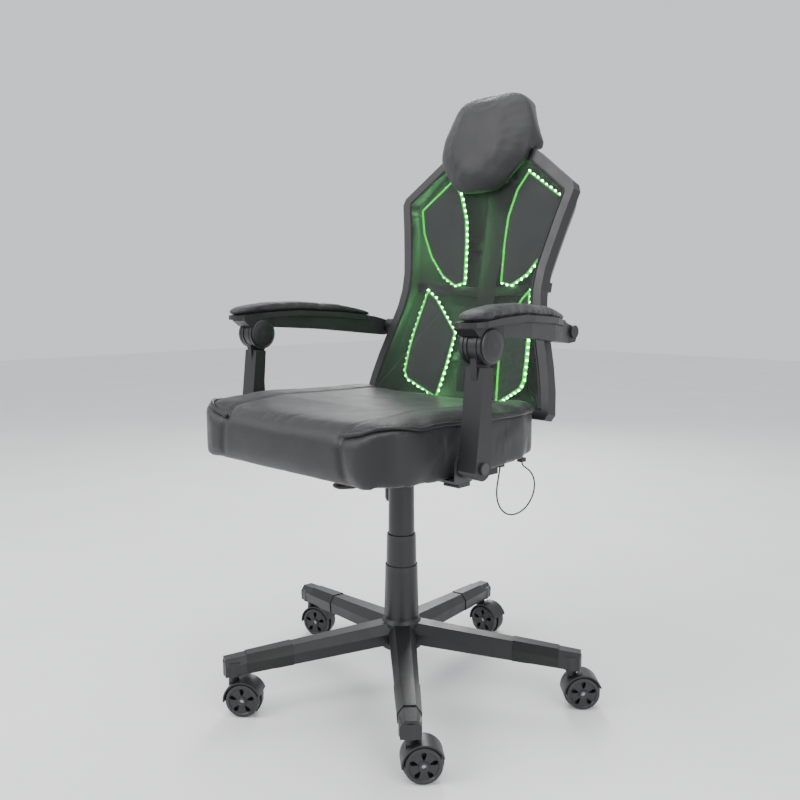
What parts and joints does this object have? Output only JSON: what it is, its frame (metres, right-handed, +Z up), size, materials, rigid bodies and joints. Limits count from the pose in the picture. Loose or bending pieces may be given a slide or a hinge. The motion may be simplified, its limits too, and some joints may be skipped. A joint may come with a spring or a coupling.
{
  "type": "gaming chair",
  "caption": "Gaming chair with five-star caster base, gas lift, tilting seat, reclining mesh back with green light strips, head cushion and linked padded armrests.",
  "frame": {"origin": "on the floor under the column axis", "axes": "+Z up along the column, front of the chair is -Y, +X is the sitter's left"},
  "size_m": [0.6936, 0.6744, 1.1804],
  "materials": {
    "nylon": "fine grain black",
    "grip": "glossy moulded texture",
    "black_steel": "satin black powder coat",
    "sleeve": "satin black",
    "rod_chrome": "polished",
    "pin_steel": "zinc plated",
    "board": "plywood",
    "seat_leather": "black artificial leather",
    "control_box": "matt black",
    "strap": "woven webbing",
    "lead": "matt black",
    "frame_plastic": "fine grain black",
    "mesh": "open black mesh",
    "panel_grey": "satin grey",
    "head_leather": "dark grey artificial leather",
    "arm_leather": "soft black skin",
    "cap_plastic": "satin",
    "wheel_nylon": "satin black nylon",
    "green_light": "lit diffuser"
  },
  "bodies": {
    "base": {"star_base": "nylon", "leg_grips": "grip", "lift_tube": "black_steel", "lower_sleeve": "sleeve"},
    "cover": {"middle_sleeve": "sleeve"},
    "column": {"upper_sleeve": "sleeve", "lift_rod": "rod_chrome"},
    "mechanism": {"tilt_housing": "black_steel", "tilt_pin": "pin_steel"},
    "lever": {"height_lever": "nylon"},
    "knob": {"tension_knob": "nylon"},
    "seat": {"seat_plate": "black_steel", "seat_board": "board", "seat_cushion": "seat_leather", "seat_bolts": "pin_steel", "arm_bracket_left": "black_steel", "arm_bracket_right": "black_steel", "foot_pin_left": "pin_steel", "foot_pin_right": "pin_steel", "recline_bracket_left": "black_steel", "recline_bracket_right": "black_steel", "recline_pin_left": "pin_steel", "recline_pin_right": "pin_steel", "light_controller": "control_box", "battery_strap": "strap", "light_lead": "lead", "lead_clips": "nylon"},
    "back": {"back_frame": "frame_plastic", "back_spine": "frame_plastic", "back_mesh": "mesh", "back_panels": "panel_grey", "light_strips": "green_light", "head_bracket": "black_steel", "head_cushion": "head_leather", "back_screws": "pin_steel"},
    "post_l": {"post_left": "frame_plastic"},
    "post_r": {"post_right": "frame_plastic"},
    "arm_l": {"arm_left": "frame_plastic", "arm_pad_left": "arm_leather", "elbow_pin_left": "pin_steel", "elbow_caps_left": "cap_plastic"},
    "arm_r": {"arm_right": "frame_plastic", "arm_pad_right": "arm_leather", "elbow_pin_right": "pin_steel", "elbow_caps_right": "cap_plastic"},
    "caster_1": {"fork_1": "frame_plastic", "stem_1": "pin_steel"},
    "wheel_1": {"wheels_1": "wheel_nylon"},
    "caster_2": {"fork_2": "frame_plastic", "stem_2": "pin_steel"},
    "wheel_2": {"wheels_2": "wheel_nylon"},
    "caster_3": {"fork_3": "frame_plastic", "stem_3": "pin_steel"},
    "wheel_3": {"wheels_3": "wheel_nylon"},
    "caster_4": {"fork_4": "frame_plastic", "stem_4": "pin_steel"},
    "wheel_4": {"wheels_4": "wheel_nylon"},
    "caster_5": {"fork_5": "frame_plastic", "stem_5": "pin_steel"},
    "wheel_5": {"wheels_5": "wheel_nylon"}
  },
  "joints": [
    {"name": "seat_lift", "type": "slide", "parent": "base", "child": "column", "axis": [0, 0, 1], "range_m": [-0.08, 0]},
    {"name": "cover_slide", "type": "slide", "parent": "base", "child": "cover", "axis": [0, 0, 1], "range_m": [-0.04, 0]},
    {"name": "seat_swivel", "type": "hinge", "parent": "column", "child": "mechanism", "pos_m": [0, 0, 0.44], "axis": [0, 0, 1], "continuous": true},
    {"name": "seat_tilt", "type": "hinge", "parent": "mechanism", "child": "seat", "pos_m": [0, 0.045, 0.452], "axis": [-1, 0, 0], "range_deg": [0, 10], "stiffness_Nm_per_rad": 120, "springref_deg": -11.46},
    {"name": "lift_lever", "type": "hinge", "parent": "mechanism", "child": "lever", "pos_m": [-0.07, 0.005, 0.449], "axis": [0, 1, 0], "range_deg": [0, 8], "stiffness_Nm_per_rad": 1.5, "springref_deg": -5.73},
    {"name": "tension_turn", "type": "hinge", "parent": "mechanism", "child": "knob", "pos_m": [-0.046, 0.025, 0.38], "axis": [0, 0, 1], "range_deg": [-180, 180]},
    {"name": "back_recline", "type": "hinge", "parent": "seat", "child": "back", "pos_m": [0, 0.18, 0.512], "axis": [-1, 0, 0], "range_deg": [0, 30]},
    {"name": "post_tilt_left", "type": "hinge", "parent": "seat", "child": "post_l", "pos_m": [0.29, -0.137, 0.502], "axis": [-1, 0, 0], "range_deg": [0, 30]},
    {"name": "elbow_left", "type": "hinge", "parent": "post_l", "child": "arm_l", "pos_m": [0.29, -0.122, 0.69201], "axis": [-1, 0, 0], "range_deg": [-30, 0]},
    {"name": "post_tilt_right", "type": "hinge", "parent": "seat", "child": "post_r", "pos_m": [-0.29, -0.137, 0.502], "axis": [-1, 0, 0], "range_deg": [0, 30]},
    {"name": "elbow_right", "type": "hinge", "parent": "post_r", "child": "arm_r", "pos_m": [-0.29, -0.122, 0.69201], "axis": [-1, 0, 0], "range_deg": [-30, 0]},
    {"name": "caster_swivel_1", "type": "hinge", "parent": "base", "child": "caster_1", "pos_m": [-0.14302, -0.29851, 0.07], "axis": [0, 0, 1], "continuous": true},
    {"name": "caster_roll_1", "type": "hinge", "parent": "caster_1", "child": "wheel_1", "pos_m": [-0.12735, -0.28608, 0.0315], "axis": [-0.6211, 0.7837, 0], "continuous": true},
    {"name": "caster_swivel_2", "type": "hinge", "parent": "base", "child": "caster_2", "pos_m": [0.2397, -0.22826, 0.07], "axis": [0, 0, 1], "continuous": true},
    {"name": "caster_roll_2", "type": "hinge", "parent": "caster_2", "child": "wheel_2", "pos_m": [0.2529, -0.21324, 0.0315], "axis": [-0.7513, 0.66, 0], "continuous": true},
    {"name": "caster_swivel_3", "type": "hinge", "parent": "base", "child": "caster_3", "pos_m": [0.29116, 0.15743, 0.07], "axis": [0, 0, 1], "continuous": true},
    {"name": "caster_roll_3", "type": "hinge", "parent": "caster_3", "child": "wheel_3", "pos_m": [0.30538, 0.1715, 0.0315], "axis": [-0.7034, 0.7108, 0], "continuous": true},
    {"name": "caster_swivel_4", "type": "hinge", "parent": "base", "child": "caster_4", "pos_m": [-0.05975, 0.32556, 0.07], "axis": [0, 0, 1], "continuous": true},
    {"name": "caster_roll_4", "type": "hinge", "parent": "caster_4", "child": "wheel_4", "pos_m": [-0.0398, 0.32696, 0.0315], "axis": [-0.0698, 0.9976, 0], "continuous": true},
    {"name": "caster_swivel_5", "type": "hinge", "parent": "base", "child": "caster_5", "pos_m": [-0.32809, 0.04378, 0.07], "axis": [0, 0, 1], "continuous": true},
    {"name": "caster_roll_5", "type": "hinge", "parent": "caster_5", "child": "wheel_5", "pos_m": [-0.30911, 0.05009, 0.0315], "axis": [-0.3156, 0.9489, 0], "continuous": true}
  ],
  "couplings": [
    {"joint": "cover_slide", "follows": "seat_lift", "ratio": 0.5},
    {"joint": "post_tilt_left", "follows": "back_recline", "ratio": 1},
    {"joint": "elbow_left", "follows": "back_recline", "ratio": -1},
    {"joint": "post_tilt_right", "follows": "back_recline", "ratio": 1},
    {"joint": "elbow_right", "follows": "back_recline", "ratio": -1}
  ]
}
